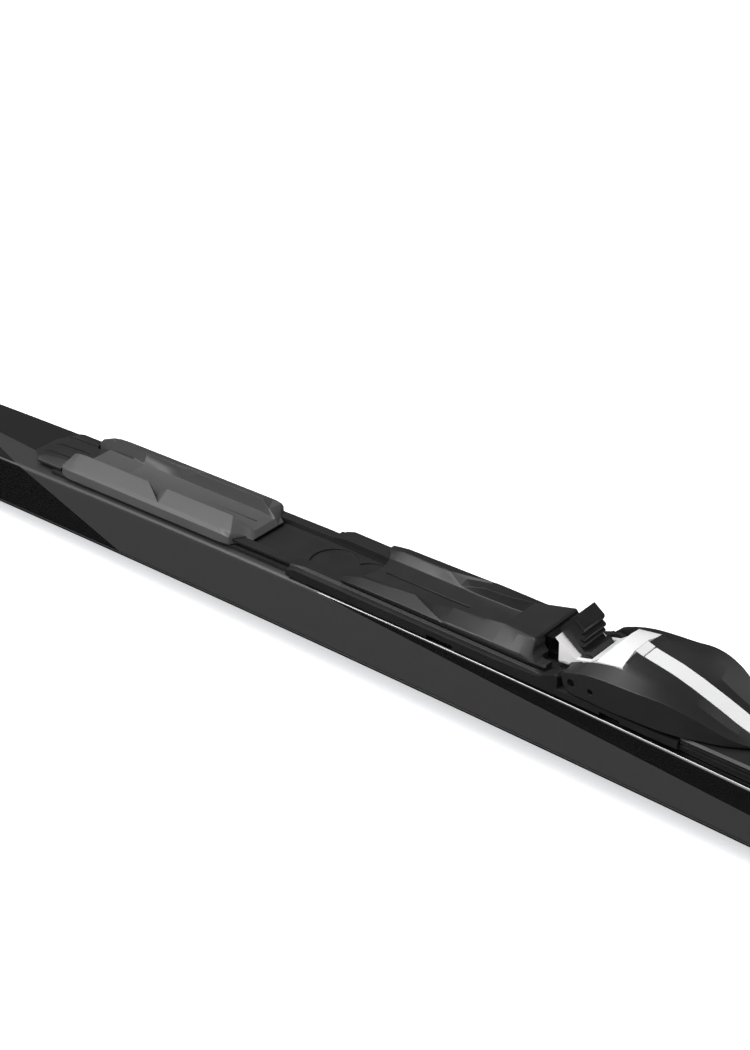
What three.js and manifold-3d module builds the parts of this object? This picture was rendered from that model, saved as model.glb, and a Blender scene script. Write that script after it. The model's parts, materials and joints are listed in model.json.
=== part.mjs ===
// Cross country ski with a toe binding and a heel plate on one sliding mounting plate.
// Millimetres. +X to the tip, +Y to the skier's left, +Z up. The origin is on the floor under mid length.
import * as THREE from 'three';
import { ConvexGeometry } from 'three/addons/geometries/ConvexGeometry.js';
import { mergeVertices } from 'three/addons/utils/BufferGeometryUtils.js';
import Module from 'manifold-3d';

const wasm = await Module();
wasm.setup();

// ---- Ski: driving dimensions ---------------------------------------------------------------
const LENGTH = 2010;
const HALF_WIDTH = 22;
const THICKNESS = 28.9;          // at the thickest station
const THICKEST_X = -103;
const END_THICKNESS = 7;
const THIN_SPAN = 1163;          // from the thickest station to where it has thinned out
const CAMBER = 15;
const CAMBER_X = -95;
const CONTACT_SPAN = 870;        // from the camber's apex to each contact line
const TIP_RISE = 48;
const TAIL_RISE = 4;
const TIP_TAPER_X = 820;         // where the plan starts to narrow
const TAIL_TAPER_X = -960;
const GUARD_LENGTH = 18;
const LAYER_GAP = 0.25;
const BASE_SHEET = 1.3;
const LAMINATE = 0.55;
const CAP_ROOF = 1.2;
const CAP_WALL = 1.6;
const SHOULDER = 1.6;
const LAYER_STEPS = 52;

// ---- Mounting plate ------------------------------------------------------------------------
const PLATE_BACK_X = -319;
const RAIL_BACK_X = -288;
const PLATE_FRONT_X = 140;
const PLATE_HALF = 18.4;
const RAIL_TOP_Z = 48.9;         // level under the toe unit
const RAIL_KINK_X = -165;        // behind this the rails run down with the heel
const HEEL_SLOPE = 0.0236;
const RAIL_IN = 12.5;
const RAIL_OUT = 17.5;
const WEB_OUT = 15.4;
const DECK_DROP = 3;             // rail top down to the deck
const FLANGE = 1.4;
const SCREW_X = [-270, -100, 66, 132];
const SCREW_HEAD_R = 3.6;
const SCREW_SHANK_R = 1.9;
const SCREW_LENGTH = 15;
const DISH_X = [-149, -129];
const DISH_R = 11.9;
const RUN_GAP = 0.3;             // clearance of everything that slides on the rails

// ---- Toe unit ------------------------------------------------------------------------------
const TOE_BACK_X = -160;
const TOE_FRONT_X = 51;
const TOE_HALF = 22;
const TOE_ROOF_Z = 51;
const LIP_Z = 49.6;
const SKIRT_Z = 44.9;
const BAR = { x: -20, z: 58.5, r: 4.3 };        // where the boot's toe bar sits
const PIVOT = { x: -1.4, z: 54.7, r: 1.7 };     // the lever's hinge
const LINK_PIVOT = { x: 8.4, z: 54.5, r: 1.2 };
const HOOK_PIVOT = { x: -13, z: 52.9, r: 1 };
const PAD_Z = 63.3;
const FOOT_SCREW = { x: -96, y: 13.8, r: 1.6, headR: 3 };
const LATCH_PIVOT = { x: 95, z: 49.2, r: 1 };
const ARM_IN = 16.4;
const FRAME_HALF = 11.5;
const STEM_HALF = 4.6;

// ---- Solids from three.js geometry ---------------------------------------------------------
function solid(geometry) {
  const plain = geometry.clone();
  plain.deleteAttribute('normal');
  plain.deleteAttribute('uv');
  const merged = mergeVertices(plain, 1e-5);
  const vertProperties = new Float32Array(merged.attributes.position.array);
  const triVerts = new Uint32Array(merged.index.array);
  return new wasm.Manifold(new wasm.Mesh({ numProp: 3, vertProperties, triVerts }));
}

function outline(points) {
  return new THREE.Shape(points.map(([u, v]) => new THREE.Vector2(u, v)));
}

function extruded(shape, depth, steps = 1) {
  return new THREE.ExtrudeGeometry(shape, { depth, steps, curveSegments: 8, bevelEnabled: false });
}

// Polygon in X and Z, extruded across the ski from y0 to y1.
function sideProfile(points, y0, y1) {
  const geometry = extruded(outline(points), y1 - y0);
  geometry.rotateX(Math.PI / 2);
  geometry.translate(0, y1, 0);
  return solid(geometry);
}

// Polygon in X and Y, extruded upwards from z0 to z1.
function planProfile(points, z0, z1) {
  const geometry = extruded(outline(points), z1 - z0);
  geometry.translate(0, 0, z0);
  return solid(geometry);
}

function block(x0, x1, y0, y1, z0, z1) {
  const geometry = new THREE.BoxGeometry(x1 - x0, y1 - y0, z1 - z0);
  geometry.translate((x0 + x1) / 2, (y0 + y1) / 2, (z0 + z1) / 2);
  return solid(geometry);
}

// Round bar across the ski.
function crossRod({ x, z, r }, y0, y1, sides = 20) {
  const geometry = new THREE.CylinderGeometry(r, r, y1 - y0, sides);
  geometry.translate(x, (y0 + y1) / 2, z);
  return solid(geometry);
}

function upright(x, y, r, z0, z1, sides = 16) {
  const geometry = new THREE.CylinderGeometry(r, r, z1 - z0, sides);
  geometry.rotateX(Math.PI / 2);
  geometry.translate(x, y, (z0 + z1) / 2);
  return solid(geometry);
}

// Smallest convex body round the points and their mirror images.
function convexPair(points) {
  const all = points.flatMap(([x, y, z]) => [new THREE.Vector3(x, y, z), new THREE.Vector3(x, -y, z)]);
  return solid(new ConvexGeometry(all));
}

// Mirrors a half outline [y, z], listed outwards from the centre line and back to it. A point on
// the centre line is listed only where the outline has a ridge or a valley there.
function bothSides(half) {
  const left = half.filter(([y]) => y > 0).map(([y, z]) => [-y, z]).reverse();
  return [...half, ...left];
}

// Skin through cross-sections { x, half: [[y, z], ...] } with the same number of points.
function loft(stations, closeRing = bothSides) {
  const flat = (ring) => ring.map(([, y, z]) => new THREE.Vector2(y, z));
  const rings = stations.map(({ x, half }) => closeRing(half).map(([y, z]) => [x, y, z]));
  if (THREE.ShapeUtils.isClockWise(flat(rings[0]))) rings.forEach((ring) => ring.reverse());
  const count = rings[0].length;
  const index = [];
  for (let s = 0; s + 1 < rings.length; s += 1) {
    for (let i = 0; i < count; i += 1) {
      const a = s * count + i;
      const b = s * count + (i + 1) % count;
      index.push(a, b, b + count, a, b + count, a + count);
    }
  }
  const last = (rings.length - 1) * count;
  THREE.ShapeUtils.triangulateShape(flat(rings[0]), []).forEach(([a, b, c]) => index.push(c, b, a));
  THREE.ShapeUtils.triangulateShape(flat(rings[rings.length - 1]), [])
    .forEach(([a, b, c]) => index.push(last + a, last + b, last + c));
  const geometry = new THREE.BufferGeometry();
  geometry.setAttribute('position', new THREE.Float32BufferAttribute(rings.flat(2), 3));
  geometry.setIndex(index);
  return solid(geometry);
}

// ---- Ski lines -----------------------------------------------------------------------------
function baseZ(x) {
  const s = (x - CAMBER_X) / CONTACT_SPAN;
  const frontLine = CAMBER_X + CONTACT_SPAN;
  const rearLine = CAMBER_X - CONTACT_SPAN;
  if (s > 1) return TIP_RISE * ((x - frontLine) / (LENGTH / 2 - frontLine)) ** 2;
  if (s < -1) return TAIL_RISE * ((x - rearLine) / (-LENGTH / 2 - rearLine)) ** 2;
  return CAMBER * (1 - s * s) ** 2;
}

function thickness(x) {
  const share = Math.cos((Math.PI / 2) * (x - THICKEST_X) / THIN_SPAN) ** 2;
  return END_THICKNESS + (THICKNESS - END_THICKNESS) * share;
}

const topZ = (x) => baseZ(x) + thickness(x);

function halfWidth(x) {
  const toTip = Math.max(0, x - TIP_TAPER_X) / (LENGTH / 2 + 2 - TIP_TAPER_X);
  const toTail = Math.max(0, TAIL_TAPER_X - x) / 60;
  return HALF_WIDTH * Math.sqrt((1 - toTip ** 2.4) * (1 - toTail ** 2));
}

// Sweeps a section [y, v] along the ski. Heights over "split" hang from the top line and the
// others stand on the bottom line, so every layer keeps its own thickness.
function sweep(half, { x0, x1, steps, nominal, split, bottom, top, narrow }) {
  const geometry = extruded(outline(bothSides(half)), 2, steps);
  const position = geometry.attributes.position;
  for (let i = 0; i < position.count; i += 1) {
    const t = position.getZ(i) - 1;
    const bunched = 1.25 * t - 0.25 * t ** 3;
    const x = (x0 + x1) / 2 + (x1 - x0) / 2 * bunched;
    const v = position.getY(i);
    const z = v > split ? top(x) - (nominal - v) : bottom(x) + v;
    position.setXYZ(i, x, position.getX(i) * (narrow ? halfWidth(x) / HALF_WIDTH : 1), z);
  }
  return solid(geometry);
}

const LAYER_BACK_X = -LENGTH / 2 + GUARD_LENGTH;
const LAYER_FRONT_X = LENGTH / 2 - GUARD_LENGTH;

function skiLayer(half, x0 = LAYER_BACK_X, x1 = LAYER_FRONT_X, steps = LAYER_STEPS) {
  return sweep(half, {
    x0, x1, steps, nominal: THICKNESS, split: THICKNESS / 2, bottom: baseZ, top: topZ, narrow: true,
  });
}

// ---- Ski pieces ----------------------------------------------------------------------------
const INNER_HALF = HALF_WIDTH - CAP_WALL - LAYER_GAP;
const CAP_FOOT = BASE_SHEET + LAYER_GAP;
const CORE_BOTTOM = CAP_FOOT + LAMINATE + LAYER_GAP;
const LAMINATE_TOP = THICKNESS - CAP_ROOF - LAYER_GAP;
const CORE_TOP = LAMINATE_TOP - LAMINATE - LAYER_GAP;
const STIFFENER = 2.2;
const STIFFENER_BACK_X = -345;
const STIFFENER_FRONT_X = 138;
const STIFFENER_HALF = 18;

function baseSheet() {
  const groove = 1.6;
  const depth = 0.7;
  return skiLayer([[groove, depth], [groove, 0], [HALF_WIDTH, 0], [HALF_WIDTH, BASE_SHEET]]);
}

const slab = (half, low, high) => [[half, low], [half, high]];

function screwHoles(z0, z1, r = SCREW_SHANK_R + 0.3) {
  return SCREW_X.map((x) => upright(x, 0, r, z0, z1, 12));
}

const drilled = (body, holes) => holes.reduce((left, hole) => left.subtract(hole), body);

function lowerLaminate() {
  return skiLayer(slab(INNER_HALF, CAP_FOOT, CAP_FOOT + LAMINATE));
}

function core() {
  const pocket = skiLayer(slab(STIFFENER_HALF + LAYER_GAP, CORE_TOP - STIFFENER - LAYER_GAP, THICKNESS),
    STIFFENER_BACK_X - 1, STIFFENER_FRONT_X + 1, 14);
  return drilled(skiLayer(slab(INNER_HALF, CORE_BOTTOM, CORE_TOP)).subtract(pocket), screwHoles(26, 60));
}

function stiffener() {
  const plate = skiLayer(slab(STIFFENER_HALF, CORE_TOP - STIFFENER, CORE_TOP - 0.02), STIFFENER_BACK_X,
    STIFFENER_FRONT_X, 14);
  return drilled(plate, screwHoles(30, 60));
}

function upperLaminate() {
  return drilled(skiLayer(slab(INNER_HALF, LAMINATE_TOP - LAMINATE, LAMINATE_TOP)), screwHoles(30, 60));
}

const shoulder = (foot) => [[HALF_WIDTH, foot], [HALF_WIDTH, THICKNESS - SHOULDER],
  [HALF_WIDTH - 0.5, THICKNESS - 0.5], [HALF_WIDTH - SHOULDER, THICKNESS]];

function capShell() {
  const inside = HALF_WIDTH - CAP_WALL;
  const roof = THICKNESS - CAP_ROOF;
  const shell = skiLayer([[inside, roof], [inside, CAP_FOOT], ...shoulder(CAP_FOOT)]);
  return drilled(shell, screwHoles(30, 60));
}

function endGuard(x0, x1) {
  return skiLayer([[HALF_WIDTH, 0], ...shoulder(1)], x0, x1, 6);
}

// ---- Mounting plate and its screws ---------------------------------------------------------
function railTop(x) {
  return RAIL_TOP_Z + Math.min(0, x - RAIL_KINK_X) * HEEL_SLOPE;
}

function mountingPlate() {
  const high = 5;
  const deck = high - DECK_DROP;
  const half = [[PLATE_HALF, 0], [PLATE_HALF, deck], [WEB_OUT, deck], [WEB_OUT, high - FLANGE],
    [RAIL_OUT, high - FLANGE], [RAIL_OUT, high], [RAIL_IN, high], [RAIL_IN, deck]];
  const lines = { nominal: high, split: 1, bottom: (x) => topZ(x) + LAYER_GAP, top: railTop };
  const span = (x0, x1, steps, section = half) => sweep(section, { x0, x1, steps, ...lines });
  const plate = span(PLATE_BACK_X, RAIL_BACK_X, 3, half.slice(0, 2))
    .add(span(RAIL_BACK_X, RAIL_KINK_X, 5)).add(span(RAIL_KINK_X, PLATE_FRONT_X, 8));
  const dishes = DISH_X.map((x) => upright(x, 0, DISH_R, RAIL_TOP_Z - DECK_DROP - 0.8, 60, 28));
  const seats = SCREW_X.map((x) => upright(x, 0, SCREW_HEAD_R + 0.3, deckZ(x) - 1.4, 60, 16));
  return drilled(plate, [...dishes, ...seats, ...screwHoles(30, 60)]);
}

const deckZ = (x) => railTop(x) - DECK_DROP;

function plateScrew(x) {
  const top = deckZ(x) - 0.1;
  const head = upright(x, 0, SCREW_HEAD_R, top - 1.1, top, 16);
  const shank = upright(x, 0, SCREW_SHANK_R, top - SCREW_LENGTH, top - 0.5, 12);
  const drive = upright(x, 0, 1.5, top - 0.7, top + 1, 6);
  return head.add(shank).subtract(drive);
}

// The underside that every sliding unit needs to run on the rails.
function railTunnel(x0, x1, rise, floorHalf = 0) {
  const g = RUN_GAP;
  const hookTop = -FLANGE - g;
  const hookLow = -DECK_DROP + g;
  const over = [[PLATE_HALF + g, -9], [PLATE_HALF + g, hookLow], [WEB_OUT + g, hookLow],
    [WEB_OUT + g, hookTop], [RAIL_OUT + g, hookTop], [RAIL_OUT + g, rise]];
  const inner = floorHalf > 0 ? [[floorHalf, rise], [floorHalf, -DECK_DROP + 1.2]] : [];
  return loft([x0, x1].map((x) => ({
    x, half: [...over, ...inner].map(([y, h]) => [y, railTop(x) + h]),
  })));
}

// ---- Heel unit -----------------------------------------------------------------------------
const HEEL_BACK_X = -312;
const HEEL_FRONT_X = -190;
const HEEL_CREST = 10.2;
const CHANNEL_HALF = 9.4;
const CATCH_SHOULDER_X = -314;
const TONGUE_BACK_X = -304;      // the plate's cover over the catch's arm starts here
const WELL_FRONT_X = -288;
const CATCH_PIVOT = { x: -300, z: railTop(-300) - 0.2, r: 1 };

// Half section of the heel plate; heights are over the rail. Channel floor, crest, facet and side.
function heelSection(x, floor, crest, outer, side) {
  const r = railTop(x);
  return { x, half: [[crest[0] - 0.8, r + floor], [crest[0], r + crest[1]], [outer[0], r + outer[1]],
    [side[0], r + side[1]], [side[0], r - 2.7]] };
}

// Valley that crosses a rail of the heel plate from its outer edge down to the channel.
function heelNotch(side) {
  const r = railTop(-250);
  const valleyOut = new THREE.Vector3(-244.6, side * 18.2, r + 3.7);
  const valleyIn = new THREE.Vector3(-255, side * 9, r + 0.9);
  const run = valleyOut.clone().sub(valleyIn).multiplyScalar(0.3);
  const rearTop = new THREE.Vector3(-261.5, side * 10.3, r + 12);
  const frontTop = new THREE.Vector3(-240, side * 10, r + 12);
  const overChannel = valleyIn.clone().add(new THREE.Vector3(0, -side, 9));
  const points = [valleyOut.clone().add(run), valleyIn, rearTop, frontTop,
    rearTop.clone().add(run), frontTop.clone().add(run), overChannel];
  return solid(new ConvexGeometry(points));
}

function heelPlate() {
  const body = loft([
    heelSection(HEEL_BACK_X, 2.2, [CHANNEL_HALF, 3.4], [16.9, 1.8], [17.4, 1]),
    heelSection(HEEL_BACK_X + 2, 2.2, [9.8, 5.6], [17.8, 3], [18.9, 1.8]),
    heelSection(HEEL_BACK_X + 6, 2.2, [HEEL_CREST, 7.1], [18.2, 3.5], [20, 2.2]),
    heelSection(HEEL_BACK_X + 11, 2.2, [HEEL_CREST, 7.5], [18.3, 3.7], [20.2, 2.4]),
    heelSection(WELL_FRONT_X, 2.2, [HEEL_CREST, 7.5], [18.3, 3.7], [20.2, 2.4]),
    heelSection(-281, 0.9, [HEEL_CREST, 7.5], [18.3, 3.7], [20.2, 2.4]),
    heelSection(-203, 0.9, [HEEL_CREST, 7.4], [18.2, 3.7], [20.2, 2.2]),
    heelSection(-197.5, 1, [8.8, 4.4], [17.9, 3.4], [19.4, 1]),
    heelSection(-194.4, 1.1, [8, 2.6], [13.6, 1], [14.6, 0.2]),
    heelSection(-192.6, 1.2, [7.6, 1.7], [11.6, 0.2], [12.4, -0.6]),
    heelSection(HEEL_FRONT_X, -1.2, [7, -1.1], [10.4, -1.2], [11, -1.6]),
  ]);
  const well = block(HEEL_BACK_X - 5, WELL_FRONT_X, -CHANNEL_HALF, CHANNEL_HALF, 30, 70);
  const underTongue = railTop(TONGUE_BACK_X) + 1.2;
  const tongue = block(TONGUE_BACK_X, WELL_FRONT_X + 1, -8.4, 8.4, underTongue, 70)
    .intersect(body);
  const pinHole = crossRod({ ...CATCH_PIVOT, r: CATCH_PIVOT.r + 0.12 }, -12.5, 12.5, 16);
  const slot = block(-228, -198, 0.2, 1.2, railTop(-213) + 0.5, 70);
  const open = drilled(body, [railTunnel(HEEL_BACK_X - 9, HEEL_FRONT_X + 9, RUN_GAP, RAIL_IN - RUN_GAP),
    heelNotch(1), heelNotch(-1), well, pinHole, slot]);
  return open.add(tongue);
}

// Spring-held tab at the back of the heel plate, with three finger grooves.
function heelCatch() {
  const at = ([x, h]) => [x, railTop(x) + h];
  const plan = [[-342, -7], [-336, -11.5], [-331, -16.6], [CATCH_SHOULDER_X, -16.6], [CATCH_SHOULDER_X, -9],
    [-290, -9], [-290, 9], [CATCH_SHOULDER_X, 9], [CATCH_SHOULDER_X, 16.6], [-331, 16.6], [-336, 11.5],
    [-342, 7]];
  const side = sideProfile([[-342, -4], [-342, -3.2], [-336, -1.4], [-330, 0], [-312, 0.8], [-309, 0.8],
    [-306, 0.5], [-290, 0.5], [-290, -1.4], [-306, -1.8], [-309, -2.6], [-331, -2.6]].map(at), -17, 17);
  const slope = (end) => [-343, -308].map((x) => ({ x, half: [[end * 9.5, railTop(x) + 1.2],
    [end * 18, railTop(x) - 1.6], [end * 18, railTop(x) + 3]] }));
  const shoulders = [1, -1].map((end) => loft(slope(end), (ring) => ring));
  const grooves = [-8.6, 0, 8.6].map((y) => sideProfile([[-338, 3], [-338, -1.6], [-330, -0.9], [-310, -0.1],
    [-310, 3]].map(at), y - 1.1, y + 1.1));
  const eye = crossRod({ ...CATCH_PIVOT, r: CATCH_PIVOT.r + 0.1 }, -20, 20, 16);
  return drilled(planProfile(plan, 34, 60).intersect(side), [...shoulders, ...grooves, eye]);
}

function heelCatchSpring() {
  const at = ([x, h]) => [x, railTop(x) + h];
  return sideProfile([[-301, -2.6], [-289, -2.6], [-289, -2.3], [-296, -2.3], [-291, -1.7], [-291.3, -1.5],
    [-301, -2.2]].map(at), -4, 4);
}

// ---- Toe unit ------------------------------------------------------------------------------
function toeBase() {
  const section = (x, roof, lip) => ({ x, half: [[18.6, roof], [19.2, lip + 0.3], [TOE_HALF, lip],
    [TOE_HALF, SKIRT_Z]] });
  const body = loft([
    section(TOE_BACK_X, 49.6, LIP_Z - 1.6), section(TOE_BACK_X + 5, 50.4, LIP_Z),
    section(TOE_BACK_X + 9, TOE_ROOF_Z, LIP_Z), section(-22, TOE_ROOF_Z, LIP_Z),
    section(-14, TOE_ROOF_Z, 48.4), section(TOE_FRONT_X, TOE_ROOF_Z, 48.8),
  ]);
  const trim = block(-13, TOE_FRONT_X + 1, -30, 30, 48.4, 60).subtract(block(-14, 99, -16, 16, 40, 70));
  const wall = (side, points, near, far) => sideProfile(points, Math.min(side * near, side * far),
    Math.max(side * near, side * far));
  const ear = [[-8.8, 47], [6, 47], [6.2, 50], [4.5, 56], [1.5, 59.5], [-2.5, 60.4], [-7.5, 58],
    [-8.8, 54]];
  const cheek = [[-16.6, 46], [-8.6, 46], [-8.6, 53.4], [-10, 54.6], [-16.6, 52]];
  const lip = [[-42, 46], [-8.6, 46], [-8.6, 54.4], [-10, 55], [-12, 53.4], [-15, 51.8], [-20, 50.6],
    [-30, 49.9], [-42, 49.6]];
  const windows = [[-78, -64], [13, 23]].map(([a, b]) => block(a, b, -30, 30, 40, 46.5));
  const openBack = block(TOE_BACK_X - 1, -121, -12.2, 12.2, 40, 60);
  let unit = body.subtract(trim);
  for (const side of [1, -1]) {
    unit = unit.add(wall(side, ear, 13.4, 16)).add(wall(side, cheek, 16.3, TOE_HALF))
      .add(wall(side, lip, 20.7, TOE_HALF));
  }
  const tunnel = railTunnel(TOE_BACK_X - 9, TOE_FRONT_X + 9, RUN_GAP);
  const pinHoles = crossRod({ ...PIVOT, r: PIVOT.r + 0.1 }, -30, 30);
  const screws = footScrewSpots().flatMap(([x, y]) => [upright(x, y, FOOT_SCREW.r + 0.2, 40, 60, 12),
    upright(x, y, FOOT_SCREW.headR + 0.2, 40, 50.4, 16)]);
  return drilled(unit, [tunnel, openBack, pinHoles, ...windows, ...screws]);
}

function footScrewSpots() {
  return [1, -1].map((side) => [FOOT_SCREW.x, side * FOOT_SCREW.y]);
}

// Half section of the foot plate: foot, undercut, outer edge, crest, foot of the crest's inner step,
// inner edge, channel edge and channel floor.
function footSection(x, outer, crest, step, inner, channel, floor) {
  const low = TOE_ROOF_Z + RUN_GAP;
  const foot = Math.min(18.2, outer[0] - 1.2);
  return { x, half: [[foot, low], [outer[0] - 1, outer[1] - 1.5], outer, crest, step, inner, channel,
    [0, floor]] };
}

// Evenly spaced stations in each gap wider than the step, so that a twisted face shades evenly.
function spaced(stations, step) {
  return stations.flatMap((station, s) => {
    const next = stations[s + 1];
    const count = next ? Math.max(1, Math.round((next.x - station.x) / step)) : 1;
    return Array.from({ length: count }, (_, i) => {
      if (i === 0) return station;
      const mix = (a, b) => a + (b - a) * i / count;
      const half = station.half.map(([y, z], k) => [mix(y, next.half[k][0]), mix(z, next.half[k][1])]);
      return { x: mix(station.x, next.x), half };
    });
  });
}

function footPlate() {
  const body = loft(spaced([
    footSection(-129.6, [19.6, 53.3], [15.3, 53.1], [14.8, 53], [12, 52.8], [9.5, 52.6], 52.5),
    footSection(-121, [20, 54.3], [14.5, 55.5], [13.9, 55.3], [11.8, 54.2], [9.5, 53], 52.6),
    footSection(-91.4, [20.1, 54.9], [12.9, 57.3], [12.2, 57.1], [11, 55.4], [9.5, 53.3], 52.9),
    footSection(-84, [20.2, 55], [15.7, 56.5], [14.7, 55.4], [10.2, 53.9], [9.5, 53.4], 53),
    footSection(-73, [20.4, 55], [19.6, 55.6], [18.9, 55.2], [10.4, 57.1], [9.5, 53.5], 53.2),
    footSection(-70.8, [20.4, 54.9], [19.9, 55.7], [16.6, 56.2], [10.5, 57.8], [9.5, 53.6], 53.3),
    footSection(-66.9, [20.4, 54.8], [19.9, 55.8], [12.5, 57.2], [10.5, 57.9], [9.5, 53.7], 53.4),
    footSection(-54.6, [20.3, 54.6], [19.8, 55.9], [12.5, 58.5], [10.6, 59], [9.6, 53.9], 53.8),
    footSection(-44.3, [20.2, 54.4], [19.7, 55.9], [12.7, 59.5], [11, 60.7], [9.8, 54.6], 54.4),
    footSection(-44, [20.2, 54.4], [19.7, 55.9], [12.7, 59.6], [11, 60.8], [9.8, 60.8], 60.8),
    footSection(-25.7, [19.9, 54.1], [19.3, 55.6], [15.6, PAD_Z - 0.4], [14.8, PAD_Z], [8, PAD_Z], PAD_Z),
    footSection(-17, [18.6, 53.4], [18.2, 54.2], [14.7, 57.3], [13, 57.4], [6, 57.3], 57.2),
  ], 5));
  const bar = crossRod(BAR, -30, 30, 28);
  const entry = sideProfile([[BAR.x - 2, BAR.z - 4], [-10, BAR.z - 4], [-10, 70], [-24.6, 70],
    [-24.6, 62.6], [BAR.x - 4.2, BAR.z]], -30, 30);
  const hookWell = block(-43.2, -10, -8.5, 8.5, 50, 59.7)
    .add(block(-32.4, -10, -8.5, 8.5, 50, 62));
  const linkWell = block(-22.5, -10, -13.5, 13.5, 50, 57.2);
  const screws = footScrewSpots().map(([x, y]) => upright(x, y, FOOT_SCREW.r + 0.1, 40, 55, 12));
  const rearArc = upright(-141.6, 0, 19.6, 50, 60, 56);
  const slot = block(-117.5, -70, -1.4, -0.4, 52, 60);
  return drilled(body, [bar, entry, hookWell, linkWell, rearArc, slot, ...screws]);
}

// Screw from below: its head lies in the roof of the toe base.
function footScrew([x, y]) {
  const shank = upright(x, y, FOOT_SCREW.r, 49.6, 54.6, 12);
  const drive = upright(x, y, 1.3, 49, 49.9, 6);
  return upright(x, y, FOOT_SCREW.headR, 49.3, 50.2, 16).add(shank).subtract(drive);
}

// White frame: front wall of the bar slot, seat of the flexor and the T at the lever.
function flexorFrame() {
  const low = TOE_ROOF_Z + RUN_GAP;
  const lower = sideProfile([[-15.4, low], [19.8, low], [21.6, 58], [20.3, 64.5], [-6.2, 64.5],
    [-18.2, 66.2], [-15.6, 63]], -FRAME_HALF, FRAME_HALF);
  const upper = convexPair([[9.5, 5.8, 70.1], [17.8, 5.2, 70.2], [18.9, 15.7, 67.8], [5, 15.7, 65.4],
    [5, 11.5, 62.2], [5, 15.7, 62.2], [20.3, 15.7, 62.2], [20.3, 5, 62.2]]);
  const sweep = (r, side, near, far) => crossRod({ ...PIVOT, r }, Math.min(side * near, side * far),
    Math.max(side * near, side * far), 48);
  const linkWay = [1, -1].flatMap((side) => [sweep(11.4, side, 11.7, 17), sweep(12, side, 11.7, 13.3)]);
  const stem = sideProfile([[16, 64.6], [21.8, 64.6], [21.8, 68.8], [17.7, 70.1], [16, 70.1]],
    -STEM_HALF, STEM_HALF);
  const seat = sideProfile([[-19.5, 66.6], [-6.6, 58.6], [0.5, 60.5], [5.6, 64.4], [9.5, 70.1], [-19.5, 80]],
    -30, 30);
  const socket = crossRod({ x: -3, z: 57, r: 3.6 }, -9.2, 9.2, 18);
  const mouth = sideProfile([[-7.6, 60], [-4.6, 55.6], [1, 58.8], [-2, 63]], -9.2, 9.2);
  const jawWay = block(-20, -9.6, -8.4, 8.4, 50, 54.6);
  const pinWay = block(-20, -11.6, -12, 12, 50, 54.3);
  return drilled(lower.add(upper).add(stem), [seat, socket, mouth, jawWay, pinWay, ...linkWay,
    crossRod({ ...BAR, r: BAR.r + 0.1 }, -30, 30)]);
}

// Rubber bumper: block tilted forward, with three ribs on its front and a bulb in the frame.
function flexor() {
  const at = (u, v) => [-18 + 0.81 * u + 0.587 * v, 66.9 - 0.587 * u + 0.81 * v];
  const rib = ([u, v]) => [60, 0, -60].map((degrees) => {
    const a = THREE.MathUtils.degToRad(degrees);
    return [u + 1.15 * Math.cos(a), v + 1.15 * Math.sin(a)];
  });
  const ribs = [[6.9, 11.2], [7.6, 10.4], [8, 8.9], [7.2, 8.2], ...rib([9.6, 7.4]), [8.6, 5.8],
    ...rib([11.4, 4.9]), [10.4, 3.2], ...rib([13, 2.2]), [12.6, 0.2]];
  const body = sideProfile([[0, 0.3], [0, 11.2], ...ribs].map(([u, v]) => at(u, v)), -7.8, 7.8);
  const bulb = crossRod({ x: -3, z: 57, r: 3.2 }, -8.8, 8.8, 18);
  const neck = sideProfile([[-6.9, 60.4], [-4.4, 56.2], [0.3, 58.9], [-2.2, 62.4]], -7.8, 7.8);
  return body.add(bulb).add(neck);
}

// ---- Lever, links and hook -----------------------------------------------------------------
const LEVER_TOP = [[16.5, 70.1], [22.2, 68.7], [36, 66.2], [46, 63.4], [53, 61], [59, 59], [68, 55.6],
  [76, 53.4], [88, 53]];

function leverTop(x) {
  const next = LEVER_TOP.findIndex(([at]) => at >= x);
  const [x1, z1] = LEVER_TOP[Math.max(1, next)];
  const [x0, z0] = LEVER_TOP[Math.max(1, next) - 1];
  return z0 + (z1 - z0) * (x - x0) / (x1 - x0);
}

function leverSection(x, shelf, crease, rim, foot) {
  const middle = x < LEVER_TOP[0][0] ? shelf[1] : leverTop(x);
  return { x, half: [foot, rim, crease, shelf, [STEM_HALF + 0.3, middle]] };
}

// Stations between the given ones, on a smooth curve through each of their points.
function smoothed(stations, between) {
  const count = stations[0].half.length;
  const curves = Array.from({ length: count }, (_, k) => new THREE.CatmullRomCurve3(
    stations.map(({ x, half }) => new THREE.Vector3(x, ...half[k])), false, 'centripetal'));
  const dense = [];
  for (let s = 0; s + 1 < stations.length; s += 1) {
    for (let i = 0; i < between; i += 1) {
      const t = i / between;
      const x = stations[s].x * (1 - t) + stations[s + 1].x * t;
      const u = (s + t) / (stations.length - 1);
      dense.push({ x, half: curves.map((curve) => curve.getPoint(u)).map(({ y, z }) => [y, z]) });
    }
  }
  return [...dense, stations[stations.length - 1]];
}

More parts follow.
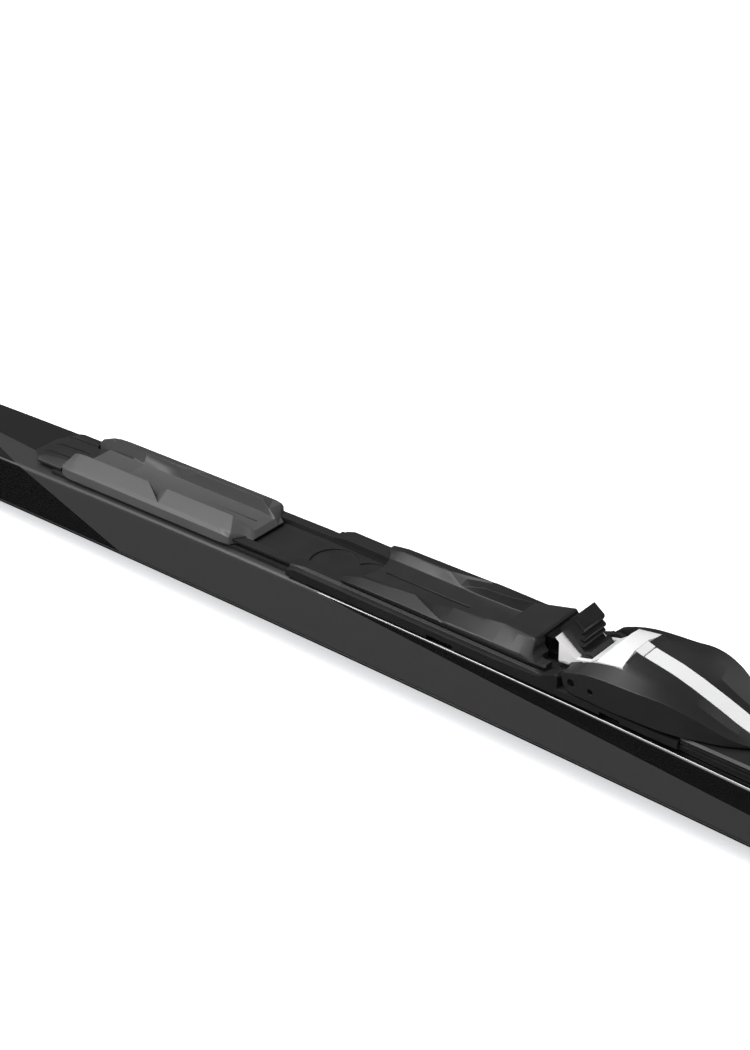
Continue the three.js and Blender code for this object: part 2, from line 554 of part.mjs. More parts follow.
function lever() {
  const body = loft(smoothed([
    leverSection(-7, [12, 56.7], [16, 56.7], [21.8, 56.4], [21, 54.4]),
    leverSection(-5.5, [12, 59.3], [16, 59.2], [22.6, 58.2], [21.6, 51.4]),
    leverSection(-1.4, [12, 62], [16, 61.9], [22.9, 60], [22, 49.3]),
    leverSection(2.4, [12.4, 64.4], [16.2, 64], [23, 61.4], [22.2, 49.3]),
    leverSection(9, [13, 67], [16.5, 65.7], [23.4, 63], [22.4, 49.3]),
    leverSection(16.5, [13.8, 69.5], [16.8, 67], [23.8, 63.9], [22.7, 49.3]),
    leverSection(22.2, [13.5, 68.5], [17.2, 67], [24, 64.3], [22.8, 49.5]),
    leverSection(30, [13.2, 67.6], [17.6, 66.9], [24.2, 64.8], [22.9, 49.9]),
    leverSection(38, [12.6, 66.2], [17.8, 66.5], [24.5, 65.6], [22.8, 50.2]),
    leverSection(45, [11.6, 63.6], [17.7, 65], [23.8, 65.4], [22.4, 50.5]),
    leverSection(53, [10.6, 60.4], [17, 62.2], [22.3, 63.4], [21.3, 51]),
    leverSection(60, [9.8, 57.6], [15.6, 59.2], [19.9, 60.6], [19.1, 51.2]),
    leverSection(68, [9.2, 54.8], [13.6, 55.8], [17, 56.8], [16.4, 51.3]),
    leverSection(76, [8, 53], [10.4, 53.2], [12.4, 53.4], [12, 51.4]),
    leverSection(88, [5.1, 52.97], [5.4, 52.9], [5.6, 52.7], [5.4, 51.6]),
  ], 4));
  const sweepOut = crossRod({ ...PIVOT, r: 25.1 }, -ARM_IN, ARM_IN, 48);
  const stemOut = crossRod({ ...PIVOT, r: 27.4 }, -STEM_HALF - 0.3, STEM_HALF + 0.3, 48);
  const hollow = loft([
    { x: 24, half: [[15, 40], [15, 62], [0, 63]] },
    { x: 36, half: [[15, 40], [15, 61], [0, 61.6]] },
    { x: 50, half: [[15, 40], [15, 56.5], [0, 57.5]] },
    { x: 64, half: [[11, 40], [11, 52.3], [0, 53]] },
  ]);
  const inlaySeat = inlayBody(STEM_HALF, 0.9, 2);
  const pins = [PIVOT, LINK_PIVOT].map((p) => crossRod({ ...p, r: p.r + 0.1 }, -30, 30));
  const underside = block(0, 60, -ARM_IN, ARM_IN, 40, TOE_ROOF_Z + RUN_GAP);
  const rearGap = block(-8, 8, -ARM_IN, ARM_IN, 40, 75);
  return drilled(body.subtract(underside).subtract(rearGap), [sweepOut, stemOut, hollow, inlaySeat, ...pins]);
}

function inlayBody(half, down, up) {
  const xs = LEVER_TOP.map(([x]) => x).filter((x) => x > 20 && x < 80);
  return loft([...xs, 84].map((x) => ({ x, half: [[half, leverTop(x) - down],
    [half, leverTop(x) + up]] })));
}

// Strap from the lever to the jaw's cross pin. Its rear end is a claw, open behind and below.
function linkStrap(side) {
  const y0 = Math.min(side * 11.9, side * 13);
  const y1 = y0 + 1.1;
  const { x, z } = HOOK_PIVOT;
  const strap = sideProfile([[LINK_PIVOT.x, LINK_PIVOT.z - 1.8], [x + 2.6, z - 1.6], [x + 1.15, z - 1.6],
    [x + 1.15, z + 1.3], [x - 1.6, z + 1.3], [x - 1.6, z + 2], [x + 1, z + 2.7],
    [LINK_PIVOT.x, LINK_PIVOT.z + 1.8]], y0, y1);
  return strap.add(crossRod({ ...LINK_PIVOT, r: 1.8 }, y0, y1, 18))
    .subtract(crossRod({ ...LINK_PIVOT, r: LINK_PIVOT.r + 0.1 }, -30, 30));
}

// Steel jaw that closes over the toe bar; the links pull it back.
function toeHook() {
  const jaw = sideProfile([[-33, 51.5], [-11.2, 51.5], [-11.2, 54.2], [-16.4, 54.2], [-17.5, 54.6],
    [-22.9, 55.2], [-22.9, 59.8], [-21.9, 60.9], [-19.4, 61.15], [-19.1, 61.7], [-26.6, 61.7], [-26.6, 59.4],
    [-33, 59.4]], -8, 8);
  return jaw.subtract(crossRod({ ...HOOK_PIVOT, r: HOOK_PIVOT.r + 0.05 }, -30, 30));
}

function hookSpring() {
  const turns = 4;
  const [x0, x1] = [-42.6, -33.7];
  const points = Array.from({ length: turns * 10 + 1 }, (_, i) => {
    const t = i / (turns * 10);
    const a = t * turns * 2 * Math.PI;
    return new THREE.Vector3(x0 + (x1 - x0) * t, 2.3 * Math.cos(a), 56 + 2.3 * Math.sin(a));
  });
  const wire = new THREE.Shape();
  wire.absarc(0, 0, 0.35, 0, 2 * Math.PI);
  const path = new THREE.CatmullRomCurve3(points);
  return solid(new THREE.ExtrudeGeometry(wire, { steps: turns * 10, curveSegments: 3, extrudePath: path }));
}

// Grooved front end of the toe unit, gripped to shift it, and the latch that holds it.
function shiftGrip() {
  const section = (x, half, high) => ({ x, half: [[half - 1, high], [half, high - 1], [half, 45.6]] });
  const body = loft([section(51.4, 20.6, 50.4), section(84, 20.6, 50.4), section(104, 19.6, 50.2),
    section(114, 16, 49.8)]);
  const grooves = [1, -1].flatMap((side) => [46.6, 48.4].map((z) => block(50, 110,
    Math.min(side * 19.9, side * 24), Math.max(side * 19.9, side * 24), z, z + 0.9)));
  const well = block(90, 120, -7, 7, 40, 60);
  const pinHole = crossRod({ ...LATCH_PIVOT, r: LATCH_PIVOT.r + 0.1 }, -9.5, 9.5, 14);
  return drilled(body, [railTunnel(40, 130, RUN_GAP), ...grooves, well, pinHole]);
}

function shiftLatch() {
  const tongue = sideProfile([[91, 47.4], [92, 50.2], [97, 50.6], [112, 50.4], [117, 52], [118, 51.4],
    [113, 47.6], [100, 47]], -6.6, 6.6);
  return tongue.subtract(crossRod({ ...LATCH_PIVOT, r: LATCH_PIVOT.r + 0.1 }, -9, 9, 14));
}

// ---- Assembly ------------------------------------------------------------------------------
const FINISH = {
  cap: { color: 0x1c1c1d, roughness: 0.25, metalness: 0 },
  sheet: { color: 0x151515, roughness: 0.5, metalness: 0 },
  carbon: { color: 0x26272a, roughness: 0.5, metalness: 0 },
  foam: { color: 0xcfc39a, roughness: 0.9, metalness: 0 },
  plastic: { color: 0x3d3d3e, roughness: 0.5, metalness: 0 },
  heel: { color: 0x676768, roughness: 0.5, metalness: 0 },
  white: { color: 0xf0f0f0, roughness: 0.4, metalness: 0 },
  rubber: { color: 0x1a1a1a, roughness: 0.7, metalness: 0 },
  steel: { color: 0x9a9c9f, roughness: 0.35, metalness: 1 },
  blackSteel: { color: 0x1b1b1c, roughness: 0.4, metalness: 1 },
};

const ski = new THREE.Group();

function piece(name, shape, finish) {
  const { vertProperties, triVerts } = shape.getMesh();
  const geometry = new THREE.BufferGeometry();
  geometry.setAttribute('position', new THREE.BufferAttribute(vertProperties, 3));
  geometry.setIndex(new THREE.BufferAttribute(triVerts, 1));
  geometry.computeVertexNormals();
  const mesh = new THREE.Mesh(geometry, new THREE.MeshStandardMaterial(FINISH[finish]));
  mesh.name = name;
  ski.add(mesh);
}

piece('base_sheet', baseSheet(), 'sheet');
piece('lower_laminate', lowerLaminate(), 'carbon');
piece('core', core(), 'foam');
piece('binding_stiffener', stiffener(), 'carbon');
piece('upper_laminate', upperLaminate(), 'carbon');
piece('cap_shell', capShell(), 'cap');
piece('tip_guard', endGuard(LAYER_FRONT_X + LAYER_GAP, LENGTH / 2), 'plastic');
piece('tail_guard', endGuard(-LENGTH / 2, LAYER_BACK_X - LAYER_GAP), 'plastic');
piece('mounting_plate', mountingPlate(), 'plastic');
SCREW_X.forEach((x, i) => piece(`plate_screw_${i + 1}`, plateScrew(x), 'steel'));

piece('heel_plate', heelPlate(), 'heel');
piece('heel_catch', heelCatch(), 'plastic');
piece('heel_catch_pin', crossRod(CATCH_PIVOT, -12.1, 12.1, 16), 'steel');
piece('heel_catch_spring', heelCatchSpring(), 'steel');

piece('toe_base', toeBase(), 'plastic');
piece('foot_plate', footPlate(), 'plastic');
footScrewSpots().forEach((spot, i) => piece(`foot_screw_${i + 1}`, footScrew(spot), 'steel'));
piece('flexor_frame', flexorFrame(), 'white');
piece('flexor', flexor(), 'rubber');
piece('lever', lever(), 'plastic');
piece('lever_inlay', inlayBody(STEM_HALF - 0.25, 0.6, 0.05), 'white');
for (const [name, side] of [['left', 1], ['right', -1]]) {
  const span = (a, b) => [Math.min(side * a, side * b), Math.max(side * a, side * b)];
  piece(`lever_pin_${name}`, crossRod(PIVOT, ...span(13.5, 22)), 'blackSteel');
  piece(`link_pin_${name}`, crossRod(LINK_PIVOT, ...span(11.8, 22)), 'blackSteel');
  piece(`hook_link_${name}`, linkStrap(side), 'steel');
}
piece('toe_hook', toeHook(), 'blackSteel');
piece('hook_cross_pin', crossRod(HOOK_PIVOT, -13.2, 13.2, 16), 'steel');
piece('hook_spring', hookSpring(), 'steel');
piece('shift_grip', shiftGrip(), 'plastic');
piece('shift_latch', shiftLatch(), 'plastic');
piece('shift_latch_pin', crossRod(LATCH_PIVOT, -9.3, 9.3, 14), 'steel');

export default ski;
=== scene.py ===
"""Looks of a cross country ski with a toe binding and a heel plate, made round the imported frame."""

import json
import math

import bmesh
import bpy
from bpy.props import FloatProperty, FloatVectorProperty, PointerProperty
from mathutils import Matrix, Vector
from mathutils.bvhtree import BVHTree
from mathutils.geometry import intersect_point_line


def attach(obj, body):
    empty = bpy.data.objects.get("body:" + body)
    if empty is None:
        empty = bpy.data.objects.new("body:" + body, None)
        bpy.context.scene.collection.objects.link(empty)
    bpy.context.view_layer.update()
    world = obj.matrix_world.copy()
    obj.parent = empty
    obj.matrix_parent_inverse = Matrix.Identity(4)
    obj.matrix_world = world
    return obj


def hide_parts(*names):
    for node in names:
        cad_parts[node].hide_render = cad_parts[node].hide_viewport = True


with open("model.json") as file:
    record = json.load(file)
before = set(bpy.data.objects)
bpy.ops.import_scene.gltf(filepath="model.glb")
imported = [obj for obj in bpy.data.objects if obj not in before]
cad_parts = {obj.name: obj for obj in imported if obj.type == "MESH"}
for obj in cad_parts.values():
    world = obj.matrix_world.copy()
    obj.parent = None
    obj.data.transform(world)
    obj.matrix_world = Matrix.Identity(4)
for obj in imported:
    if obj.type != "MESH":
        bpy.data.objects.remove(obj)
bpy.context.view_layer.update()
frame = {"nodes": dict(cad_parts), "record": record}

bl_info = {
    "name": "Cross Country Ski",
    "version": (1, 0, 0),
    "blender": (4, 5, 0),
    "location": "View3D > Sidebar > Ski",
    "description": "Builds the finished surfaces of a cross country ski and its binding",
    "category": "Add Mesh",
}

MM = 0.001
WELD_MM = 0.003             # vertices this close are one
FLAT_DEGREES = 0.1          # faces this close to one plane are joined
SHARP_DEGREES = 38          # edges over this stay sharp in the shading
FOLDED = 0.15               # cosine to the CAD surface below which a face counts as turned over
LEAST_AREA = 1e-12          # square metres; a smaller face has no reliable direction
BEVEL_TRIES = 7
SMALL_FILLET_MM = 0.12      # screw heads and the jaw
PIN_FILLET_MM = 0.15
STRAP_FILLET_MM = 0.08


def linear(hex_colour):
    """sRGB hex such as "3e3e3f" to linear red, green and blue."""
    channels = [int(hex_colour[i:i + 2], 16) / 255 for i in (0, 2, 4)]
    return tuple(c / 12.92 if c <= 0.04045 else ((c + 0.055) / 1.055) ** 2.4 for c in channels)


# ---- Settings a user would change ----------------------------------------------------------

def colour(name, description, hex_colour):
    return FloatVectorProperty(name=name, description=description, subtype="COLOR", size=3,
                               min=0, max=1, default=linear(hex_colour))


def length_mm(name, description, value):
    return FloatProperty(name=name, description=description, default=value, min=0, unit="NONE")


class SkiColours(bpy.types.PropertyGroup):
    cap_black: colour("Cap black", "Gloss lacquer of the cap", "131314")
    graphite: colour("Graphite", "Satin wedge on the cap", "383839")
    base: colour("Base", "Sintered running base", "111112")
    plate: colour("Plate plastic", "Mounting plate and toe carrier", "1c1c1d")
    plastic: colour("Binding plastic", "Sole plate and lever", "242425")
    heel: colour("Heel plastic", "Heel plate", "4c4c4d")
    white: colour("White plastic", "Bridge and stripe", "ececec")
    rubber: colour("Rubber", "Bumper", "131313")
    steel: colour("Steel", "Screws, straps and springs", "a2a5a8")
    black_steel: colour("Blackened steel", "Jaw and lever pins", "2a2a2c")


class SkiSizes(bpy.types.PropertyGroup):
    fillet: length_mm("Fillet", "Edge rounding of moulded parts, in millimetres", 0.35)
    fine_fillet: length_mm("Fine fillet", "Edge rounding of thin parts, in millimetres", 0.15)
    shoulder: length_mm("Shoulder", "Rounding of the cap's shoulders, in millimetres", 0.55)


class SkiStage(bpy.types.PropertyGroup):
    azimuth: FloatProperty(name="Azimuth", description="Camera direction round the ski",
                           subtype="ANGLE", default=math.radians(39.52))
    elevation: FloatProperty(name="Elevation", description="Camera height over the horizon",
                             subtype="ANGLE", default=math.radians(30.36))
    distance: FloatProperty(name="Distance", description="Camera to its aim point",
                            unit="LENGTH", default=0.9783)
    lens: FloatProperty(name="Lens", description="Focal length in millimetres", default=74.9)
    floor: colour("Floor", "Pale floor", "f4f4f4")


# ---- Meshes --------------------------------------------------------------------------------

def copied(node):
    """The CAD node's mesh with its vertices merged and its flat faces joined."""
    bm = bmesh.new()
    bm.from_mesh(frame["nodes"][node].data)
    bmesh.ops.remove_doubles(bm, verts=bm.verts, dist=WELD_MM * MM)
    bmesh.ops.dissolve_limit(bm, angle_limit=math.radians(FLAT_DEGREES), verts=bm.verts, edges=bm.edges)
    bm.edges.index_update()
    return bm


def fold_points(bm, shape, width_mm):
    """Corners of the faces that a bevel has turned over or thrown clear of the CAD shape."""
    points = []
    for face in bm.faces:
        if face.calc_area() < LEAST_AREA:
            continue
        centre = face.calc_center_median()
        _, normal, _, gap = shape.find_nearest(centre)
        if normal.dot(face.normal) < FOLDED or gap > width_mm * MM:
            points += [centre, *(v.co.copy() for v in face.verts)]
    return points


def passes(edge, points, reach):
    """Whether the edge comes within reach of any of the points."""
    a, b = (v.co for v in edge.verts)
    for point in points:
        foot, along = intersect_point_line(point, a, b)
        foot = a if along < 0 else b if along > 1 else foot
        if (foot - point).length < reach:
            return True
    return False


def soften(bm, width_mm, segments, least_degrees):
    """Rounds the sharp edges, and leaves out those where a bevel would fold over."""
    shape = BVHTree.FromBMesh(bm)
    least = math.radians(least_degrees)
    kept = [e.index for e in bm.edges if e.is_manifold and e.calc_face_angle(0) > least]
    for edge in bm.edges:
        edge.smooth = edge.index not in kept
    for _ in range(BEVEL_TRIES):
        trial = bm.copy()
        trial.edges.ensure_lookup_table()
        for i in kept:
            trial.edges[i].smooth = True
        bmesh.ops.bevel(trial, geom=[trial.edges[i] for i in kept], offset=width_mm * MM,
                        offset_type="OFFSET", segments=segments, profile=0.5, affect="EDGES",
                        clamp_overlap=False, material=-1)
        bmesh.ops.triangulate(trial, faces=trial.faces[:])
        trial.normal_update()
        folds = fold_points(trial, shape, width_mm)
        if not folds or not kept:
            break
        bm.edges.ensure_lookup_table()
        kept = [i for i in kept if not passes(bm.edges[i], folds, 1.2 * width_mm * MM)]
    for edge in trial.edges:
        if edge.calc_face_angle(0) > math.radians(SHARP_DEGREES):
            edge.smooth = False
    return trial


def place(bm, name, body, slot, material, *nodes):
    """Ends a bmesh as a piece that rides on a body and stands for CAD nodes."""
    mesh = bpy.data.meshes.new(name)
    for face in bm.faces:
        face.smooth = True
    bm.to_mesh(mesh)
    bm.free()
    mesh.materials.append(material)
    piece = bpy.data.objects.new(name, mesh)
    bpy.context.scene.collection.objects.link(piece)
    flatten = piece.modifiers.new("Even shading", "WEIGHTED_NORMAL")
    flatten.keep_sharp = True
    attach(piece, body)
    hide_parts(*nodes)
    return piece


def rounded(node, name, material, width_mm, segments=2, least_degrees=20):
    """A CAD node's shape with its edges rounded."""
    bm = soften(copied(node), width_mm, segments, least_degrees)
    slots = {s["node"]: s["material_slot"] for s in frame["record"]["subparts"]}
    bodies = frame["record"]["behaviour"]["bodies"]
    body = next(b for b, members in bodies.items() if node in members)
    return place(bm, name, body, slots[node], material, node)


# ---- Materials -----------------------------------------------------------------------------

def add(tree, kind, inputs=None, **settings):
    """Adds a node with its settings. inputs gives each socket a value or another node's output."""
    node = tree.nodes.new(kind)
    for name, value in settings.items():
        setattr(node, name, value)
    for socket, value in (inputs or {}).items():
        if isinstance(value, bpy.types.NodeSocket):
            tree.links.new(value, node.inputs[socket])
        else:
            node.inputs[socket].default_value = value
    return node


def blank(name):
    """A material with no nodes but its Object coordinates."""
    material = bpy.data.materials.new(name)
    material.use_nodes = True
    tree = material.node_tree
    tree.nodes.clear()
    return material, tree, add(tree, "ShaderNodeTexCoord").outputs["Object"]


def surface(tree, inputs):
    shader = add(tree, "ShaderNodeBsdfPrincipled", inputs)
    add(tree, "ShaderNodeOutputMaterial", {"Surface": shader.outputs["BSDF"]})


def per_mm(size):
    """Noise scale whose features measure size millimetres on Object coordinates."""
    return 1 / (size * MM)


def noise(tree, point, size, detail=2.0, roughness=0.5):
    return add(tree, "ShaderNodeTexNoise", {"Vector": point, "Scale": per_mm(size), "Detail": detail,
                                            "Roughness": roughness}).outputs[0]


def span(tree, value, low, high, to_low, to_high):
    return add(tree, "ShaderNodeMapRange", {"Value": value, "From Min": low, "From Max": high,
                                            "To Min": to_low, "To Max": to_high}).outputs["Result"]


def tinted(tree, factor, dark, light):
    mix = add(tree, "ShaderNodeMix", {0: factor, 6: (*dark, 1), 7: (*light, 1)}, data_type="RGBA")
    return mix.outputs[2]


def shade(rgb, gain):
    return tuple(min(1, c * gain) for c in rgb)


def moulded(name, rgb, roughness):
    """Glass-filled nylon from a spark-eroded mould: a fine even grain over slow flow marks."""
    material, tree, point = blank(name)
    grain = noise(tree, point, 0.45, 3)
    flow = noise(tree, point, 14, 2)
    bump = add(tree, "ShaderNodeBump", {"Strength": 0.6, "Distance": 0.012 * MM, "Height": grain})
    surface(tree, {
        "Base Color": tinted(tree, flow, shade(rgb, 0.93), shade(rgb, 1.07)),
        "Roughness": span(tree, flow, 0.3, 0.7, roughness - 0.04, roughness + 0.05),
        "IOR": 1.53, "Normal": bump.outputs["Normal"]})
    return material


def white_acetal(rgb):
    """White acetal: bright, slightly translucent, with a soft gloss from a polished mould."""
    material, tree, point = blank("white_acetal")
    flow = noise(tree, point, 9, 2)
    grain = noise(tree, point, 0.6, 2)
    bump = add(tree, "ShaderNodeBump", {"Strength": 0.3, "Distance": 0.006 * MM, "Height": grain})
    surface(tree, {
        "Base Color": tinted(tree, flow, shade(rgb, 0.965), rgb),
        "Roughness": span(tree, flow, 0.3, 0.7, 0.3, 0.4),
        "Subsurface Weight": 0.06, "Subsurface Scale": 0.8 * MM, "IOR": 1.48,
        "Normal": bump.outputs["Normal"]})
    return material


def moulded_rubber(rgb):
    """Thermoplastic rubber: dull, with a faint pebbled skin and a little dusty sheen."""
    material, tree, point = blank("moulded_rubber")
    skin = noise(tree, point, 0.35, 3)
    wear = noise(tree, point, 5, 3)
    bump = add(tree, "ShaderNodeBump", {"Strength": 0.7, "Distance": 0.02 * MM, "Height": skin})
    surface(tree, {
        "Base Color": tinted(tree, wear, shade(rgb, 0.85), shade(rgb, 1.25)),
        "Roughness": span(tree, wear, 0.3, 0.7, 0.38, 0.48), "IOR": 1.52, "Sheen Weight": 0.08,
        "Normal": bump.outputs["Normal"]})
    return material


def zinc_steel(rgb):
    """Bright zinc plate on steel: fine drawn lines and a mild blotch in the gloss."""
    material, tree, point = blank("zinc_plated_steel")
    drawn = add(tree, "ShaderNodeMapping", {"Vector": point, "Scale": (0.12, 1, 1)})
    lines = noise(tree, drawn.outputs["Vector"], 0.2, 2)
    bump = add(tree, "ShaderNodeBump", {"Strength": 0.25, "Distance": 0.01 * MM, "Height": lines})
    surface(tree, {
        "Base Color": tinted(tree, lines, shade(rgb, 0.9), rgb), "Metallic": 1.0,
        "Roughness": span(tree, noise(tree, point, 3, 2), 0.3, 0.7, 0.24, 0.36),
        "Normal": bump.outputs["Normal"]})
    return material


def blackened_steel(rgb):
    """Black oxide on steel: dark, oily gloss with small bright rubs."""
    material, tree, point = blank("blackened_steel")
    rubs = noise(tree, point, 1.2, 4)
    surface(tree, {
        "Base Color": tinted(tree, span(tree, rubs, 0.62, 0.75, 0, 1), rgb, shade(rgb, 3)),
        "Metallic": 0.9, "Roughness": span(tree, rubs, 0.3, 0.7, 0.34, 0.48)})
    return material


def carbon_laminate():
    """Pressed carbon cloth: 2 mm tows that cross, under clear resin."""
    material, tree, point = blank("carbon_laminate")
    light_tow, dark_tow = (*linear("2a2b2e"), 1), (*linear("191a1c"), 1)
    weave = add(tree, "ShaderNodeTexChecker", {
        "Vector": point, "Scale": per_mm(2), "Color1": light_tow, "Color2": dark_tow})
    surface(tree, {"Base Color": weave.outputs["Color"], "Roughness": 0.3, "Coat Weight": 0.6})
    return material


def paulownia():
    """Sanded paulownia strips: pale straw colour with long grain along the ski."""
    material, tree, point = blank("paulownia_core")
    along = add(tree, "ShaderNodeMapping", {"Vector": point, "Scale": (0.03, 1, 1)})
    grain = noise(tree, along.outputs["Vector"], 1.6, 4)
    straw = tinted(tree, grain, linear("a98c5e"), linear("d6bf92"))
    surface(tree, {"Base Color": straw, "Roughness": 0.7})
    return material


def sintered_base(rgb):
    """Graphite polyethylene, stone ground: dull black with fine lines along the ski."""
    material, tree, point = blank("sintered_polyethylene")
    ground = add(tree, "ShaderNodeMapping", {"Vector": point, "Scale": (0.02, 1, 1)})
    lines = noise(tree, ground.outputs["Vector"], 0.5, 2)
    bump = add(tree, "ShaderNodeBump", {"Strength": 0.5, "Distance": 0.02 * MM, "Height": lines})
    surface(tree, {
        "Base Color": tinted(tree, lines, shade(rgb, 0.8), shade(rgb, 1.3)), "Roughness": 0.42,
        "IOR": 1.51, "Normal": bump.outputs["Normal"]})
    return material


def beyond(tree, point, normal, offset):
    """1 where the point, in millimetres, lies beyond the plane, and 0 elsewhere."""
    along = add(tree, "ShaderNodeVectorMath", {0: point, 1: normal}, operation="DOT_PRODUCT")
    return add(tree, "ShaderNodeMath", {0: along.outputs["Value"], 1: offset},
               operation="GREATER_THAN").outputs[0]


def both(tree, first, second):
    return add(tree, "ShaderNodeMath", {0: first, 1: second}, operation="MULTIPLY").outputs[0]


def either(tree, first, second):
    return add(tree, "ShaderNodeMath", {0: first, 1: second}, operation="MAXIMUM").outputs[0]


# Planes of the cap's decoration, in millimetres: a normal and how far along it the plane lies.
WEDGE_REAR = ((1, -3.011, 2.927), -290.4)     # diagonal that crosses the shoulder behind the heel plate
WEDGE_INNER = ((-0.1, -1, 0), 39.9)           # the wedge's other edge on the top
UNDER_HEEL = ((1, 0, 0), -342)                # from the heel catch forward
RIGHT_HALF = ((0, -1, 0), 5)
WEDGE_FRONT = ((-0.061, 0, -1), -34.5)        # falls slowly towards the tip
FAR_SIDE = ((0, 1, 0), 21.3)
STRIPE_PLANES = (
    ((0.02, 1, 0), -12.1),      # its right edge
    ((-0.02, -1, 0), 9.4),      # its left edge
    ((-1, 0.6, 0), 460),        # its slanted front end
    ((1, -0.6, 0), -700),       # its slanted back end
    ((0, 0, 1), 20),            # over the base
)


def lacquered_cap(black, graphite, white):
    """Lacquered cap: gloss black with a satin graphite wedge and a thin white stripe on the tail."""
    material, tree, point = blank("lacquered_cap")
    place_mm = add(tree, "ShaderNodeVectorMath", {0: point, "Scale": 1 / MM}, operation="SCALE").outputs[0]
    mirrored = add(tree, "ShaderNodeVectorMath", {0: place_mm}, operation="ABSOLUTE").outputs[0]
    split = add(tree, "ShaderNodeSeparateXYZ", {"Vector": place_mm})
    across = add(tree, "ShaderNodeSeparateXYZ", {"Vector": mirrored}).outputs["Y"]
    folded = add(tree, "ShaderNodeCombineXYZ", {
        "X": split.outputs["X"], "Y": across, "Z": split.outputs["Z"]})
    rear = beyond(tree, folded.outputs[0], *WEDGE_REAR)
    ahead = both(tree, beyond(tree, place_mm, *UNDER_HEEL), beyond(tree, place_mm, *RIGHT_HALF))
    inner = either(tree, either(tree, beyond(tree, place_mm, *WEDGE_INNER), ahead),
                   beyond(tree, place_mm, *FAR_SIDE))
    front = beyond(tree, place_mm, *WEDGE_FRONT)
    wedge = both(tree, both(tree, rear, inner), front)
    stripe = beyond(tree, place_mm, *STRIPE_PLANES[0])
    for plane in STRIPE_PLANES[1:]:
        stripe = both(tree, stripe, beyond(tree, place_mm, *plane))
    ground = tinted(tree, wedge, black, graphite)
    paint = add(tree, "ShaderNodeMix", {0: stripe, 6: ground, 7: (*white, 1)}, data_type="RGBA").outputs[2]
    peel = noise(tree, point, 2.5, 1)
    haze = noise(tree, point, 30, 2)
    rough = span(tree, wedge, 0, 1, 0.12, 0.36)
    lacquer = span(tree, wedge, 0, 1, 1, 0)
    uneven = add(tree, "ShaderNodeMath", {0: haze, 1: 0.06, 2: rough}, operation="MULTIPLY_ADD").outputs[0]
    bump = add(tree, "ShaderNodeBump", {"Strength": 0.1, "Distance": 0.004 * MM, "Height": peel})
    surface(tree, {"Base Color": paint, "Roughness": uneven, "IOR": 1.5, "Coat Weight": lacquer,
                   "Coat Roughness": 0.05, "Coat IOR": 1.6, "Normal": bump.outputs["Normal"]})
    return material


def studio_floor(rgb):
    """Matt studio paper, lit from behind as on a light table, so that shadows stay faint."""
    material, tree, point = blank("studio_paper")
    tooth = noise(tree, point, 400, 2)
    seen = add(tree, "ShaderNodeLightPath").outputs["Is Camera Ray"]
    glow = add(tree, "ShaderNodeMath", {0: seen, 1: 0.55}, operation="MULTIPLY").outputs[0]
    surface(tree, {"Base Color": tinted(tree, tooth, shade(rgb, 0.985), rgb), "Roughness": 0.9,
                   "Emission Color": (0.97, 0.985, 1, 1), "Emission Strength": glow})
    return material


MATERIALS = {}


def make_materials():
    c = bpy.context.scene.ski_colours
    tone = {name: tuple(getattr(c, name)) for name in SkiColours.__annotations__}
    MATERIALS.update({
        "cap": lacquered_cap(tone["cap_black"], tone["graphite"], tone["white"]),
        "base": sintered_base(tone["base"]),
        "guard": moulded("guard_nylon", tone["base"], 0.4),
        "carbon": carbon_laminate(),
        "core": paulownia(),
        "rail_plastic": moulded("plate_nylon", tone["plate"], 0.46),
        "binding_plastic": moulded("binding_nylon", tone["plastic"], 0.42),
        "heel_plastic": moulded("heel_nylon", tone["heel"], 0.45),
        "white_plastic": white_acetal(tone["white"]),
        "rubber": moulded_rubber(tone["rubber"]),
        "steel": zinc_steel(tone["steel"]),
        "black_steel": blackened_steel(tone["black_steel"]),
    })


def finish_cad_nodes():
    """Gives every CAD node its slot's material, the hidden ones as well."""
    for part in frame["record"]["subparts"]:
        mesh = frame["nodes"][part["node"]].data
        mesh.materials.clear()
        mesh.materials.append(MATERIALS[part["material_slot"]])


# ---- Operators -----------------------------------------------------------------------------

class SKI_OT_materials(bpy.types.Operator):
    """Makes the materials and gives them to the CAD nodes"""
    bl_idname = "ski.materials"
    bl_label = "Materials"

    def execute(self, context):
        make_materials()
        finish_cad_nodes()
        return {"FINISHED"}


class SKI_OT_body(bpy.types.Operator):
    """Makes the ski's cap, base and end guards"""
    bl_idname = "ski.body"
    bl_label = "Ski"

    def execute(self, context):
        sizes = context.scene.ski_sizes
        rounded("cap_shell", "ski_cap", MATERIALS["cap"], sizes.shoulder, 3, 12)
        rounded("base_sheet", "ski_base", MATERIALS["base"], sizes.fine_fillet, 1)
        rounded("tip_guard", "tip_end", MATERIALS["guard"], sizes.fine_fillet)
        rounded("tail_guard", "tail_end", MATERIALS["guard"], sizes.fine_fillet)
        return {"FINISHED"}


class SKI_OT_plate(bpy.types.Operator):
    """Makes the mounting plate and its screws"""
    bl_idname = "ski.plate"
    bl_label = "Mounting plate"

    def execute(self, context):
        sizes = context.scene.ski_sizes
        rounded("mounting_plate", "rail_plate", MATERIALS["rail_plastic"], sizes.fine_fillet)
        for number in range(1, 5):
            rounded(f"plate_screw_{number}", f"plate_screw_head_{number}", MATERIALS["steel"],
                    SMALL_FILLET_MM)
        return {"FINISHED"}


class SKI_OT_heel(bpy.types.Operator):
    """Makes the heel plate and its catch"""
    bl_idname = "ski.heel"
    bl_label = "Heel unit"

    def execute(self, context):
        sizes = context.scene.ski_sizes
        rounded("heel_plate", "heel_pad", MATERIALS["heel_plastic"], sizes.fillet)
        rounded("heel_catch", "heel_tab", MATERIALS["binding_plastic"], sizes.fillet)
        return {"FINISHED"}


